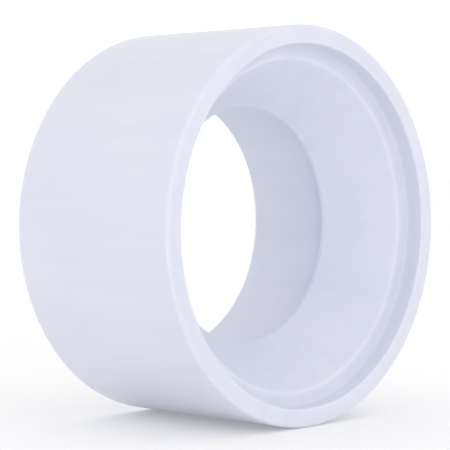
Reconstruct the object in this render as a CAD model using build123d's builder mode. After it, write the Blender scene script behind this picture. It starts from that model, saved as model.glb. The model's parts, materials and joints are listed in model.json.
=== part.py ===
from build123d import *

import math
import os

# Reducing coupling of the flush bushing pattern: a 6 in spigot outside and a 4 in hub inside, in one
# PVC moulding. The axis lies along X, with the spigot end and its funnel mouth at +X and the hub end
# at -X. +Z is up, and the origin is the middle of the bounding box. Depths are measured from the
# spigot end face towards the hub end. All lengths are in millimetres.

# spigot barrel, which glues into a 6 in hub
spigot_radius = 84.15
overall_length = 88.9
rim_wall = 7.8
barrel_wall = 8.15

# recess behind the spigot rim, and the funnel that leads the flow to the neck
recess_depth = 8.9
ledge_radius = 70.35
funnel_end_depth = 36.2
neck_radius = 51.3
web_wall = 7.0

# hub, which takes a 4 in pipe as far as the back of the short lip at the neck
hub_radius = 57.35
hub_depth = 50.8
hub_wall = 10.15
lead_in = 5.0

# cored-out pockets in the hub end, with ribs between them
pocket_count = 8
rib_thickness = 5.5
pocket_corner_round = 3.0
pocket_edge_round = 0.7

# rounds of the turned section
rim_outer_round = 1.6
rim_inner_round = 0.9
recess_fillet = 2.0
ledge_round = 2.5
neck_round = 0.6
stop_round = 0.5
stop_fillet = 1.0
mouth_round = 1.0
barrel_rear_round = 1.0

# worked out from the above
rim_radius = spigot_radius - rim_wall
stop_depth = overall_length - hub_depth
mouth_radius = hub_radius + lead_in
pocket_outer_radius = spigot_radius - barrel_wall
pocket_inner_radius = hub_radius + hub_wall
front_x = overall_length / 2
hub_end_plane = Plane(origin=(-front_x, 0, 0), x_dir=(0, 1, 0), z_dir=(-1, 0, 0))
funnel_half_angle = math.atan2(ledge_radius - neck_radius, funnel_end_depth - recess_depth)


def at(depth, radius):
    """The point of a turned section at this depth behind the spigot end and this radius."""
    return (front_x - depth, radius)


def funnel_back_depth(radius):
    """How deep behind the spigot end the back of the funnel's wall has this radius."""
    wall_along_axis = web_wall / math.sin(funnel_half_angle)
    return recess_depth + wall_along_axis + (ledge_radius - radius) / math.tan(funnel_half_angle)


def funnel_back_radius(depth):
    """The radius of the back of the funnel's wall at this depth."""
    wall_along_axis = web_wall / math.sin(funnel_half_angle)
    return ledge_radius - (depth - recess_depth - wall_along_axis) * math.tan(funnel_half_angle)


# the fitting without its pockets: one turned section, each corner with its own round
section_corners = [
    (0, spigot_radius, rim_outer_round),
    (0, rim_radius, rim_inner_round),
    (recess_depth, rim_radius, recess_fillet),
    (recess_depth, ledge_radius, ledge_round),
    (funnel_end_depth, neck_radius, neck_round),
    (stop_depth, neck_radius, stop_round),
    (stop_depth, hub_radius, stop_fillet),
    (overall_length - lead_in, hub_radius, mouth_round),
    (overall_length, mouth_radius, mouth_round),
    (overall_length, spigot_radius, barrel_rear_round),
]

# the pockets' floor follows the web behind the ledge, then the back of the funnel
web_back_depth = recess_depth + web_wall
pocket_section = [
    at(overall_length, pocket_inner_radius),
    at(funnel_back_depth(pocket_inner_radius), pocket_inner_radius),
    at(web_back_depth, funnel_back_radius(web_back_depth)),
    at(web_back_depth, pocket_outer_radius),
    at(overall_length, pocket_outer_radius),
]

# one pocket's outline: between two circles, with its sides parallel to the middles of the ribs beside it
half_pitch = math.radians(180 / pocket_count)
wedge_tip = rib_thickness / 2 / math.sin(half_pitch)
wedge_reach = 2 * spigot_radius
wedge_half_width = wedge_reach * math.tan(half_pitch)

with BuildSketch() as pocket_outline:
    Circle(pocket_outer_radius)
    Circle(pocket_inner_radius, mode=Mode.SUBTRACT)
    with BuildSketch(mode=Mode.INTERSECT):
        with BuildLine():
            Polyline(
                (wedge_tip, 0),
                (wedge_tip + wedge_reach, -wedge_half_width),
                (wedge_tip + wedge_reach, wedge_half_width),
                close=True,
            )
        make_face()
    fillet(pocket_outline.vertices(), radius=pocket_corner_round)

with BuildPart() as pocket_cores:
    with BuildSketch(hub_end_plane):
        with PolarLocations(0, pocket_count):
            add(pocket_outline.sketch)
    extrude(amount=-overall_length)
    with BuildSketch(Plane.XY):
        with BuildLine():
            Polyline(*pocket_section, close=True)
        make_face()
    revolve(axis=Axis.X, mode=Mode.INTERSECT)

with BuildPart() as coupling_body:
    with BuildSketch(Plane.XY) as section:
        with BuildLine():
            Polyline(*[at(depth, radius) for depth, radius, corner_round in section_corners], close=True)
        make_face()
        for depth, radius, corner_round in section_corners:
            corner = Vertex(*at(depth, radius), 0)
            fillet(section.vertices().sort_by_distance(corner)[0], radius=corner_round)
    revolve(axis=Axis.X)
    add(pocket_cores.part, mode=Mode.SUBTRACT)
    hub_end_face = coupling_body.faces().sort_by(Axis.X)[0]
    pocket_rims = hub_end_face.inner_wires().sort_by(SortBy.LENGTH)[:pocket_count]
    fillet(pocket_rims.edges(), radius=pocket_edge_round)

coupling_body.part.label = "coupling_body"

os.makedirs("parts", exist_ok=True)
export_step(coupling_body.part, "parts/coupling_body.step")
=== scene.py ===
import json
import math

import bpy
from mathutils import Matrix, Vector


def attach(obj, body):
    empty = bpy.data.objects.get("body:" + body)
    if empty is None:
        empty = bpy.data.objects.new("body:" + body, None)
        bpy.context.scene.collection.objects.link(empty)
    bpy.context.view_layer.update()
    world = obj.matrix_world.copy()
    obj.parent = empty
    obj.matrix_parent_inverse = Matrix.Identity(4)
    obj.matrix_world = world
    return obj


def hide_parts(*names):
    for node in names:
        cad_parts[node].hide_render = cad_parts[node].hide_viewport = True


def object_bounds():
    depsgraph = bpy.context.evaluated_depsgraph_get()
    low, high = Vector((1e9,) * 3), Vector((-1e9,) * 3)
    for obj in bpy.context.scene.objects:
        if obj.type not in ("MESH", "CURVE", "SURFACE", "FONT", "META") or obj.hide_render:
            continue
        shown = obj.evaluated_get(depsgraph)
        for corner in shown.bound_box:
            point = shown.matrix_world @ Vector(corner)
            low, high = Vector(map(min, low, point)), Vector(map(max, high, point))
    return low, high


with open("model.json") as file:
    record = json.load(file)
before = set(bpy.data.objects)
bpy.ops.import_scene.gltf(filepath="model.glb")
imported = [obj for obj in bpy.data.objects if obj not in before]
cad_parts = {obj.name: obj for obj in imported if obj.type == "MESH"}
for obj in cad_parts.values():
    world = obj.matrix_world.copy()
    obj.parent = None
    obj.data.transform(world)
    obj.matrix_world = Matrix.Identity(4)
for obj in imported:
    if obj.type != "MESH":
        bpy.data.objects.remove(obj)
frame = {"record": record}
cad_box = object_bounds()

# A reducing coupling in white PVC, lying on its barrel, with the spigot end and the funnel mouth towards
# +X and the hub end towards -X. Lengths are in metres. Depths are measured from the spigot end face
# towards the hub end.

MM = 0.001

# ---------------------------------------------------------------- sizes

mounts = {mount["name"]: mount for mount in frame["record"]["mounts"]}
low_corner, high_corner = (Vector(corner) for corner in cad_box)
front_x = high_corner.x
overall_length = high_corner.x - low_corner.x
floor_z = low_corner.z

spigot_radius = mounts["spigot"]["dims"]["r_mm"] * MM
hub_radius = mounts["hub_socket"]["dims"]["r_mm"] * MM
stop_depth = front_x - mounts["pipe_stop_face"]["pos_m"][0]

rim_radius = spigot_radius - 7.8 * MM
recess_depth = 8.9 * MM
ledge_radius = 70.35 * MM
funnel_end_depth = 36.2 * MM
neck_radius = 51.3 * MM
web_wall = 7.0 * MM
lead_in = 5.0 * MM

pocket_count = 8
half_pitch = math.pi / pocket_count
pocket_outer_radius = spigot_radius - 8.15 * MM
pocket_inner_radius = hub_radius + 10.15 * MM
rib_thickness = 5.5 * MM
pocket_corner_round = 3.0 * MM
pocket_edge_round = 0.7 * MM
pocket_floor_round = 1.6 * MM
# how much the pocket edges' round is painted paler: wear, and a painted highlight along the edge
pocket_edge_wear_and_highlight = 0.8

# each corner of the turned section: depth, radius, round, and how worn the round is, which also sets how much
# painted highlight it carries
section_corners = [
    (overall_length, spigot_radius, 1.0 * MM, 0.8),
    (0.0, spigot_radius, 1.6 * MM, 1.0),
    (0.0, rim_radius, 0.9 * MM, 1.0),
    (recess_depth, rim_radius, 2.0 * MM, 0.0),
    (recess_depth, ledge_radius, 2.5 * MM, 0.3),
    (funnel_end_depth, neck_radius, 0.6 * MM, 0.5),
    (stop_depth, neck_radius, 0.5 * MM, 0.3),
    (stop_depth, hub_radius, 1.0 * MM, 0.0),
    (overall_length - lead_in, hub_radius, 1.0 * MM, 0.4),
    (overall_length, hub_radius + lead_in, 1.0 * MM, 1.0),
]

# fineness of the mesh
steps_round = 512
steps_round_pocket = steps_round // pocket_count
steps_across_pocket = 14
steps_down_pocket = 14
steps_per_pocket_edge = 5
degrees_per_arc_step = 9.0
longest_step = 4.0 * MM
hold_distance = 0.25 * MM

# fineness of a pocket's outline, before its points are spaced evenly
outline_arc_steps = 40
outline_corner_steps = 12

# how far the moulded surface strays from a true circle: an oval with a little of a three-sided form,
# and a sink mark in the barrel over each rib, which fades in behind the solid front of the barrel
ovality = 0.06 * MM
three_sided_share = 0.4
ovality_phase = 0.7
three_sided_phase = 2.1
sink_depth = 0.05 * MM
sink_half_width = 4 * MM
sink_start_depth = 18 * MM
sink_fade_length = 20 * MM
barrel_skin = 0.1 * MM

# ---------------------------------------------------------------- the turned section


def corner_arc(before, corner, after, radius):
    """Points of the round of this radius where two straight lines of the section meet, ends included."""
    to_before = (before - corner).normalized()
    to_after = (after - corner).normalized()
    half_angle = to_before.angle(to_after) / 2
    centre = corner + (to_before + to_after).normalized() * (radius / math.sin(half_angle))
    start = corner + to_before * (radius / math.tan(half_angle)) - centre
    turn = math.pi - 2 * half_angle
    sign = 1 if start.cross(corner - centre) > 0 else -1
    steps = max(3, math.ceil(math.degrees(turn) / degrees_per_arc_step))
    points = []
    for step in range(steps + 1):
        angle = sign * turn * step / steps
        cosine, sine = math.cos(angle), math.sin(angle)
        points.append(centre + Vector((start.x * cosine - start.y * sine, start.x * sine + start.y * cosine)))
    return points


def straight(start, end):
    """Points between two points: one close to each end, to hold the round, and even steps between."""
    length = (end - start).length
    if length < 4 * hold_distance:
        return []
    direction = (end - start) / length
    inner_start, inner_end = start + direction * hold_distance, end - direction * hold_distance
    steps = max(1, math.ceil((inner_end - inner_start).length / longest_step))
    return [inner_start.lerp(inner_end, step / steps) for step in range(steps + 1)]


def section_path():
    """The section from the barrel's side of the hub end face, round by the spigot end, to the mouth's side
    of that face, as (depth, radius, wear and painted highlight) in order. Its first and last points lie on
    the face, and keep it flat."""
    corners = [Vector((depth, radius)) for depth, radius, _, _ in section_corners]
    path = []
    for index, (corner, (_, _, corner_round, wear_and_highlight)) in enumerate(zip(corners, section_corners)):
        after = corners[(index + 1) % len(corners)]
        arc = corner_arc(corners[index - 1], corner, after, corner_round)
        if path:
            previous = Vector(path[-1][:2])
            path += [(point.x, point.y, 0.0) for point in straight(previous, arc[0])]
        # a round is painted palest at its middle: wear, and a painted highlight along the edge
        for step, point in enumerate(arc):
            share = math.sin(math.pi * (step + 0.5) / len(arc))
            path.append((point.x, point.y, wear_and_highlight * share))
    on_face_by_barrel = (overall_length, path[0][1] - hold_distance, 0.0)
    on_face_by_mouth = (overall_length, path[-1][1] + hold_distance, 0.0)
    return [on_face_by_barrel] + path + [on_face_by_mouth]


# ---------------------------------------------------------------- one pocket of the hub end


def polar(radius, angle):
    return Vector((radius * math.cos(angle), radius * math.sin(angle)))


def resampled(points, count):
    """count + 1 points spaced evenly along a line through these points."""
    lengths = [0.0]
    for start, end in zip(points, points[1:]):
        lengths.append(lengths[-1] + (end - start).length)
    found, at = [], 0
    for step in range(count + 1):
        target = lengths[-1] * step / count
        while at < len(points) - 2 and lengths[at + 1] < target:
            at += 1
        span = lengths[at + 1] - lengths[at]
        found.append(points[at].lerp(points[at + 1], min(1.0, (target - lengths[at]) / span)))
    return found


def mirrored(points):
    """The same line on the other side of the pocket's middle, run the other way."""
    return [Vector((point.x, -point.y)) for point in reversed(points)]


def half_arc(radius, end_angle):
    """Points of an arc from the pocket's middle up to, but not at, this angle."""
    return [polar(radius, end_angle * step / outline_arc_steps) for step in range(outline_arc_steps)]


def pocket_loop(inset):
    """A closed loop this far inside a pocket's outline, in the plane across the axis, with the pocket's
    middle at angle 0: the outer arc, the side at the larger angle, the inner arc and the other side,
    each from the middle of one corner to the middle of the next."""
    outer = pocket_outer_radius - inset
    inner = pocket_inner_radius + inset
    corner = pocket_corner_round - inset
    from_rib = rib_thickness / 2 + inset
    along = polar(1.0, half_pitch)
    inward = Vector((along.y, -along.x))

    def corner_points(arc_radius, outside):
        """The corner's arc from the tangent point on the circle to the tangent point on the side."""
        centre_radius = arc_radius - corner if outside else arc_radius + corner
        depth = from_rib + corner
        centre = along * math.sqrt(centre_radius**2 - depth**2) + inward * depth
        start = centre.normalized() * (1 if outside else -1)
        turns = [step / outline_corner_steps for step in range(outline_corner_steps + 1)]
        return [centre + start.slerp(-inward, turn) * corner for turn in turns]

    outer_corner = corner_points(outer, True)
    inner_corner = corner_points(inner, False)
    outer_angle = math.atan2(outer_corner[0].y, outer_corner[0].x)
    inner_angle = math.atan2(inner_corner[0].y, inner_corner[0].x)
    middle = outline_corner_steps // 2
    outer_half = half_arc(outer, outer_angle) + outer_corner[: middle + 1]
    inner_half = half_arc(inner, inner_angle) + inner_corner[: middle + 1]
    outer_arc = resampled(mirrored(outer_half)[:-1] + outer_half, steps_round_pocket)
    inner_arc = resampled(mirrored(inner_half)[:-1] + inner_half, steps_round_pocket)
    side = resampled(outer_corner[middle:] + inner_corner[: middle - 1 : -1], steps_across_pocket)
    return outer_arc[:-1] + side[:-1] + inner_arc[:0:-1] + mirrored(side)[:-1]


funnel_slope = (funnel_end_depth - recess_depth) / (ledge_radius - neck_radius)
funnel_wall_along_axis = web_wall * math.sqrt(1 + funnel_slope**2)


def pocket_floor_depth(radius):
    """The pocket's floor follows the web behind the ledge, then the back of the funnel."""
    behind_funnel = recess_depth + funnel_wall_along_axis + (ledge_radius - radius) * funnel_slope
    return max(recess_depth + web_wall, behind_funnel)


# ---------------------------------------------------------------- the mesh


class Moulding:
    """Vertices and faces of the fitting, with the wear and painted edge highlight of each vertex."""

    def __init__(self):
        self.vertices = []
        self.wear_and_highlight = []
        self.faces = []

    def add(self, depth, across, wear_and_highlight=0.0):
        self.vertices.append(Vector((front_x - depth, across.x, across.y)))
        self.wear_and_highlight.append(wear_and_highlight)
        return len(self.vertices) - 1

    def ring(self, depth, radius, wear_and_highlight):
        angles = [2 * math.pi * step / steps_round for step in range(steps_round)]
        return [self.add(depth, polar(radius, angle), wear_and_highlight) for angle in angles]

    def bridge(self, first, second, closed=True):
        """Quads between two rows of vertices of one length."""
        last = len(first) if closed else len(first) - 1
        for here in range(last):
            there = (here + 1) % len(first)
            self.faces.append((first[here], first[there], second[there], second[here]))


def turned_surface(moulding):
    """The surface turned from the section. Returns its first and last rings, which bound the hub end face."""
    rings = [moulding.ring(depth, radius, wear_and_highlight) for depth, radius, wear_and_highlight in section_path()]
    for first, second in zip(rings, rings[1:]):
        moulding.bridge(first, second)
    return rings[0], rings[-1]


def turned(point, angle):
    """A point across the axis, turned about it."""
    cosine = math.cos(angle)
    sine = math.sin(angle)
    return Vector((point.x * cosine - point.y * sine, point.x * sine + point.y * cosine))


def loop_row(moulding, loop, angle, depths, wear_and_highlight=0.0):
    """Vertices of a loop at the pocket at this angle, each at its own depth."""
    return [moulding.add(depth, turned(point, angle), wear_and_highlight) for point, depth in zip(loop, depths)]


def rib_spoke(moulding, rib, barrel_ring, mouth_ring):
    """A row of vertices along the middle of a rib, from the barrel's ring to the mouth's."""
    barrel_radius = moulding.vertices[barrel_ring[0]].yz.length
    mouth_radius = moulding.vertices[mouth_ring[0]].yz.length
    shares = [step / steps_across_pocket for step in range(1, steps_across_pocket)]
    radii = [barrel_radius + (mouth_radius - barrel_radius) * share for share in shares]
    angle = 2 * half_pitch * (rib + 0.5)
    between = [moulding.add(overall_length, polar(radius, angle)) for radius in radii]
    index = (rib * steps_round_pocket + steps_round_pocket // 2) % steps_round
    return [barrel_ring[index]] + between + [mouth_ring[index]]


def pocket_edge_rows(moulding, angle):
    """Loops on the face round a pocket, which keep it flat, and loops over the pocket's rounded edge."""
    rows = []
    for inset in (-3 * pocket_edge_round, -pocket_edge_round - hold_distance):
        loop = pocket_loop(inset)
        rows.append(loop_row(moulding, loop, angle, [overall_length] * len(loop)))
    for step in range(steps_per_pocket_edge + 1):
        turn = math.pi / 2 * step / steps_per_pocket_edge
        loop = pocket_loop(-pocket_edge_round * (1 - math.sin(turn)))
        depth = overall_length - pocket_edge_round * (1 - math.cos(turn))
        # the middle of the pocket's rounded edge is painted paler: wear, and a painted highlight along the
        # edge
        wear_and_highlight = pocket_edge_wear_and_highlight * math.sin(math.pi * (step + 0.5) / (steps_per_pocket_edge + 1))
        rows.append(loop_row(moulding, loop, angle, [depth] * len(loop), wear_and_highlight))
    return rows


def pocket_wall_rows(moulding, angle):
    """Loops down a pocket's walls and round into its floor."""
    outline = pocket_loop(0.0)
    top = overall_length - pocket_edge_round - hold_distance
    rise_to_wall = pocket_floor_round + hold_distance
    bottoms = [pocket_floor_depth(point.length) + rise_to_wall for point in outline]
    rows = []
    for step in range(steps_down_pocket + 1):
        share = step / steps_down_pocket
        depths = [top + (bottom - top) * share for bottom in bottoms]
        rows.append(loop_row(moulding, outline, angle, depths))
    for step in range(steps_per_pocket_edge + 1):
        turn = math.pi / 2 * step / steps_per_pocket_edge
        loop = pocket_loop(pocket_floor_round * (1 - math.cos(turn)))
        rise = pocket_floor_round * (1 - math.sin(turn))
        depths = [pocket_floor_depth(point.length) + rise for point in loop]
        rows.append(loop_row(moulding, loop, angle, depths))
    return rows


def pocket_floor(moulding, loop):
    """Fills the pocket's last loop with a grid that blends its four sides."""
    high_start = steps_round_pocket
    inner_start = high_start + steps_across_pocket
    low_start = inner_start + steps_round_pocket
    outer = loop[: high_start + 1]
    high_side = loop[high_start : inner_start + 1]
    inner = loop[inner_start : low_start + 1][::-1]
    low_side = [loop[0]] + loop[low_start:][::-1]

    def place(index):
        return moulding.vertices[index].yz

    grid = [outer]
    for row in range(1, steps_across_pocket):
        across = row / steps_across_pocket
        ends = [place(side[0]).lerp(place(side[-1]), across) for side in (low_side, high_side)]
        pull = [place(side[row]) - end for side, end in zip((low_side, high_side), ends)]
        line = [low_side[row]]
        for column in range(1, steps_round_pocket):
            along = column / steps_round_pocket
            point = place(outer[column]).lerp(place(inner[column]), across) + pull[0].lerp(pull[1], along)
            line.append(moulding.add(pocket_floor_depth(point.length), point))
        grid.append(line + [high_side[row]])
    grid.append(inner)
    for first, second in zip(grid, grid[1:]):
        moulding.bridge(second, first, closed=False)


def hub_end(moulding, barrel_ring, mouth_ring):
    """The flat hub end face between two rings, with its pockets: a cell for each pocket, which meets the
    next cell along the middle of a rib."""
    spokes = [rib_spoke(moulding, rib, barrel_ring, mouth_ring) for rib in range(pocket_count)]
    for pocket in range(pocket_count):
        angle = 2 * half_pitch * pocket
        start = pocket * steps_round_pocket - steps_round_pocket // 2
        cell = [(start + step) % steps_round for step in range(steps_round_pocket + 1)]
        outer = [barrel_ring[index] for index in cell]
        inner = [mouth_ring[index] for index in cell]
        high_side = spokes[pocket]
        low_side = spokes[pocket - 1]
        rows = [outer[:-1] + high_side[:-1] + inner[:0:-1] + low_side[:0:-1]]
        rows += pocket_edge_rows(moulding, angle)
        rows += pocket_wall_rows(moulding, angle)
        for first, second in zip(rows, rows[1:]):
            moulding.bridge(second, first)
        pocket_floor(moulding, rows[-1])


def settle_surface(moulding):
    """The small departures of a real moulding: slightly out of round, and sunk a hair over each rib."""
    for point in moulding.vertices:
        radius = point.yz.length
        angle = math.atan2(point.z, point.y)
        oval = ovality * math.cos(2 * angle + ovality_phase)
        three_sided = three_sided_share * ovality * math.cos(3 * angle + three_sided_phase)
        sink = 0.0
        if radius > spigot_radius - barrel_skin:
            offset_from_rib = (angle / (2 * half_pitch)) % 1.0 - 0.5
            arc_from_rib = offset_from_rib * 2 * half_pitch * radius
            fade = min(1.0, max(0.0, (front_x - sink_start_depth - point.x) / sink_fade_length))
            sink = fade * sink_depth * math.exp(-((arc_from_rib / sink_half_width) ** 2))
        scale = (radius - ovality + oval + three_sided - sink) / radius
        point.y *= scale
        point.z *= scale


def build_moulding():
    moulding = Moulding()
    barrel_ring, mouth_ring = turned_surface(moulding)
    hub_end(moulding, barrel_ring, mouth_ring)
    settle_surface(moulding)
    mesh = bpy.data.meshes.new("coupling_moulding")
    mesh.from_pydata(moulding.vertices, [], moulding.faces)
    mesh.validate()
    # share of each vertex painted paler: edge wear, and a painted highlight along the rounded edges
    wear_and_highlight = mesh.attributes.new("wear_and_highlight", "FLOAT", "POINT")
    wear_and_highlight.data.foreach_set("value", moulding.wear_and_highlight)
    mesh.shade_smooth()
    mesh.update()
    piece = bpy.data.objects.new("coupling_moulding", mesh)
    bpy.context.scene.collection.objects.link(piece)
    return piece


# ---------------------------------------------------------------- materials

darkest_pvc = (0.692, 0.708, 0.806, 1)
lightest_pvc = (0.738, 0.752, 0.842, 1)
# paler colour of the rubbed edges: wear, and a painted highlight along the rounded edges
rubbed_and_highlit_pvc = (0.752, 0.765, 0.848, 1)
darkest_paper = (0.82, 0.82, 0.82, 1)
lightest_paper = (0.84, 0.84, 0.84, 1)
paper_glow = 0.16


def node(tree, kind, inputs=None, **settings):
    """A new node. A socket among its inputs is linked, and anything else is set as the input's value."""
    made = tree.nodes.new(kind)
    for name, value in settings.items():
        setattr(made, name, value)
    for name, value in (inputs or {}).items():
        if isinstance(value, bpy.types.NodeSocket):
            tree.links.new(value, made.inputs[name])
        else:
            made.inputs[name].default_value = value
    return made


def new_material(name):
    material = bpy.data.materials.new(name)
    material.use_nodes = True
    tree = material.node_tree
    tree.nodes.clear()
    return material, tree


def noise(tree, place, scale, detail, roughness=0.5):
    inputs = {"Vector": place, "Scale": scale, "Detail": detail, "Roughness": roughness}
    return node(tree, "ShaderNodeTexNoise", inputs).outputs["Fac"]


def ramp(tree, factor, stops):
    """A colour ramp between two (position, colour) stops."""
    made = node(tree, "ShaderNodeValToRGB", {"Fac": factor})
    for element, (position, colour) in zip(made.color_ramp.elements, stops):
        element.position = position
        element.color = colour
    return made.outputs["Color"]


def end_with(tree, shader):
    output = node(tree, "ShaderNodeOutputMaterial")
    tree.links.new(shader.outputs["BSDF"], output.inputs["Surface"])


def white_pvc():
    """Smooth moulded PVC: a cool white with faint clouding and flow marks, a satin skin, and rubbed edges
    painted paler, as wear and as a faint painted highlight.
    """
    material, tree = new_material("white_pvc")
    place = node(tree, "ShaderNodeTexCoord").outputs["Object"]

    # colour: clouds in the resin, and flow marks drawn out along the axis
    cloud = noise(tree, place, scale=16.0, detail=3.0)
    along = node(tree, "ShaderNodeMapping", {"Vector": place, "Scale": (9.0, 95.0, 95.0)}).outputs["Vector"]
    flow = noise(tree, along, scale=1.0, detail=4.0)
    shade = node(tree, "ShaderNodeMix", {"Factor": 0.5, "A": cloud, "B": flow}).outputs["Result"]
    tint = ramp(tree, shade, [(0.34, darkest_pvc), (0.66, lightest_pvc)])

    # wear and painted highlight: edges rubbed a little duller, and painted paler as a faint highlight along
    # the rounded edges, in fine patches
    worn_and_highlit = node(tree, "ShaderNodeAttribute", attribute_name="wear_and_highlight", attribute_type="GEOMETRY").outputs["Fac"]
    scuff_and_highlight_noise = noise(tree, place, scale=420.0, detail=5.0, roughness=0.7)
    scuff_and_highlight_patches = node(tree, "ShaderNodeMapRange", {"Value": scuff_and_highlight_noise, "From Min": 0.38, "From Max": 0.68})
    rub_and_highlight = node(tree, "ShaderNodeMath", {0: worn_and_highlit, 1: scuff_and_highlight_patches.outputs["Result"]}, operation="MULTIPLY")
    colour = node(tree, "ShaderNodeMix", data_type="RGBA")
    tree.links.new(rub_and_highlight.outputs["Value"], colour.inputs["Factor"])
    tree.links.new(tint, colour.inputs["A"])
    colour.inputs["B"].default_value = rubbed_and_highlit_pvc

    # skin: satin, duller where it is rubbed, with a fine grain over long low waves
    gloss = node(tree, "ShaderNodeMapRange", {"Value": cloud, "To Min": 0.30, "To Max": 0.42})
    duller = {0: rub_and_highlight.outputs["Value"], 1: 0.2, 2: gloss.outputs["Result"]}
    roughness = node(tree, "ShaderNodeMath", duller, operation="MULTIPLY_ADD")
    grain = noise(tree, place, scale=900.0, detail=2.0)
    wave = noise(tree, along, scale=0.6, detail=2.0)
    fine = node(tree, "ShaderNodeBump", {"Height": grain, "Strength": 0.08, "Distance": 0.08 * MM})
    bump = node(tree, "ShaderNodeBump", {"Height": wave, "Strength": 0.25, "Distance": 0.2 * MM})
    tree.links.new(fine.outputs["Normal"], bump.inputs["Normal"])

    shader = node(
        tree,
        "ShaderNodeBsdfPrincipled",
        {
            "Base Color": colour.outputs["Result"],
            "Roughness": roughness.outputs["Value"],
            "Normal": bump.outputs["Normal"],
            "IOR": 1.53,
            "Specular IOR Level": 0.35,
            "Subsurface Weight": 0.35,
            "Subsurface Radius": (1.0, 0.95, 1.1),
            "Subsurface Scale": 2.0 * MM,
        },
    )
    end_with(tree, shader)
    return material


def studio_paper():
    """Pale, matt paper, which glows a little so that it stays white as far as the horizon."""
    material, tree = new_material("studio_floor")
    place = node(tree, "ShaderNodeTexCoord").outputs["Object"]
    grain = noise(tree, place, scale=60.0, detail=4.0)
    tint = ramp(tree, grain, [(0.0, darkest_paper), (1.0, lightest_paper)])
    shader = node(
        tree,
        "ShaderNodeBsdfPrincipled",
        {
            "Base Color": tint,
            "Roughness": 0.9,
            "Specular IOR Level": 0.1,
            "Emission Color": (1, 1, 1, 1),
            "Emission Strength": paper_glow,
        },
    )
    end_with(tree, shader)
    return material


# ---------------------------------------------------------------- studio

# light of the tent: 1.0 shows as white
tent_at_horizon = 1.08
tent_overhead = 0.95

# floor: rings of faces, each wider than the one inside it by the same ratio
floor_inner_radius = 0.5
floor_outer_radius = 20.0
floor_rings = 12
floor_sides = 96

# camera: where it looks from, how far it stands from the middle, and how far it is moved within its plane
camera_azimuth = 43.59
camera_elevation = 1.82
camera_distance = 741.2 * MM
camera_left = 3.81 * MM
camera_down = 0.34 * MM
camera_lens = 136.2


def add_floor():
    """A round pale floor, wide enough for its edge to be lost in the white beyond it."""
    growth = floor_outer_radius / floor_inner_radius
    rings = [floor_inner_radius * growth ** (ring / floor_rings) for ring in range(floor_rings + 1)]
    vertices = [Vector((0, 0, floor_z))]
    for radius in rings:
        for side in range(floor_sides):
            across = polar(radius, 2 * math.pi * side / floor_sides)
            vertices.append(Vector((across.x, across.y, floor_z)))
    faces = [(0, 1 + side, 1 + (side + 1) % floor_sides) for side in range(floor_sides)]
    for ring in range(floor_rings):
        first = 1 + ring * floor_sides
        second = first + floor_sides
        for side in range(floor_sides):
            there = (side + 1) % floor_sides
            faces.append((first + side, second + side, second + there, first + there))
    mesh = bpy.data.meshes.new("floor")
    mesh.from_pydata(vertices, [], faces)
    mesh.materials.append(studio_paper())
    floor = bpy.data.objects.new("floor", mesh)
    bpy.context.scene.collection.objects.link(floor)


def add_world():
    """A white light tent: even all round, and dimmer overhead than at the horizon."""
    world = bpy.data.worlds.new("studio")
    bpy.context.scene.world = world
    world.use_nodes = True
    tree = world.node_tree
    direction = node(tree, "ShaderNodeTexCoord").outputs["Generated"]
    height = node(tree, "ShaderNodeSeparateXYZ", {"Vector": direction}).outputs["Z"]
    levels = {"Value": height, "To Min": tent_at_horizon, "To Max": tent_overhead}
    light = node(tree, "ShaderNodeMapRange", levels)
    tree.links.new(light.outputs["Result"], tree.nodes["Background"].inputs["Color"])


def view_direction(azimuth, elevation):
    """The direction from the object to a camera: azimuth 0 is -Y, and 90 is +X."""
    azimuth = math.radians(azimuth)
    elevation = math.radians(elevation)
    level = math.cos(elevation)
    return Vector((math.sin(azimuth) * level, -math.cos(azimuth) * level, math.sin(elevation)))


def add_softbox(name, azimuth, elevation, distance, size, power):
    """A round soft light which faces the object."""
    direction = view_direction(azimuth, elevation)
    light = bpy.data.lights.new(name, "AREA")
    light.shape = "DISK"
    light.size = size
    light.energy = power
    lamp = bpy.data.objects.new(name, light)
    lamp.location = direction * distance
    lamp.rotation_euler = direction.to_track_quat("Z", "Y").to_euler()
    bpy.context.scene.collection.objects.link(lamp)


def add_camera():
    """A long lens between the barrel's side and the funnel mouth, a little above the axis."""
    back = view_direction(camera_azimuth, camera_elevation)
    turn = back.to_track_quat("Z", "Y")
    right = turn @ Vector((1, 0, 0))
    up = turn @ Vector((0, 1, 0))
    camera = bpy.data.cameras.new("camera")
    camera.sensor_width = 36.0
    camera.lens = camera_lens
    camera.clip_end = 100.0
    holder = bpy.data.objects.new("camera", camera)
    holder.rotation_euler = turn.to_euler()
    holder.location = back * camera_distance - right * camera_left - up * camera_down
    bpy.context.scene.collection.objects.link(holder)
    bpy.context.scene.camera = holder


add_camera()
add_floor()
add_world()
add_softbox("front", azimuth=60, elevation=12, distance=1.6, size=1.2, power=2.7)
bpy.context.scene.view_settings.view_transform = "Standard"
bpy.context.scene.view_settings.look = "None"

moulding = build_moulding()
moulding.data.materials.append(white_pvc())
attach(moulding, "root")
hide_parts("coupling_body")
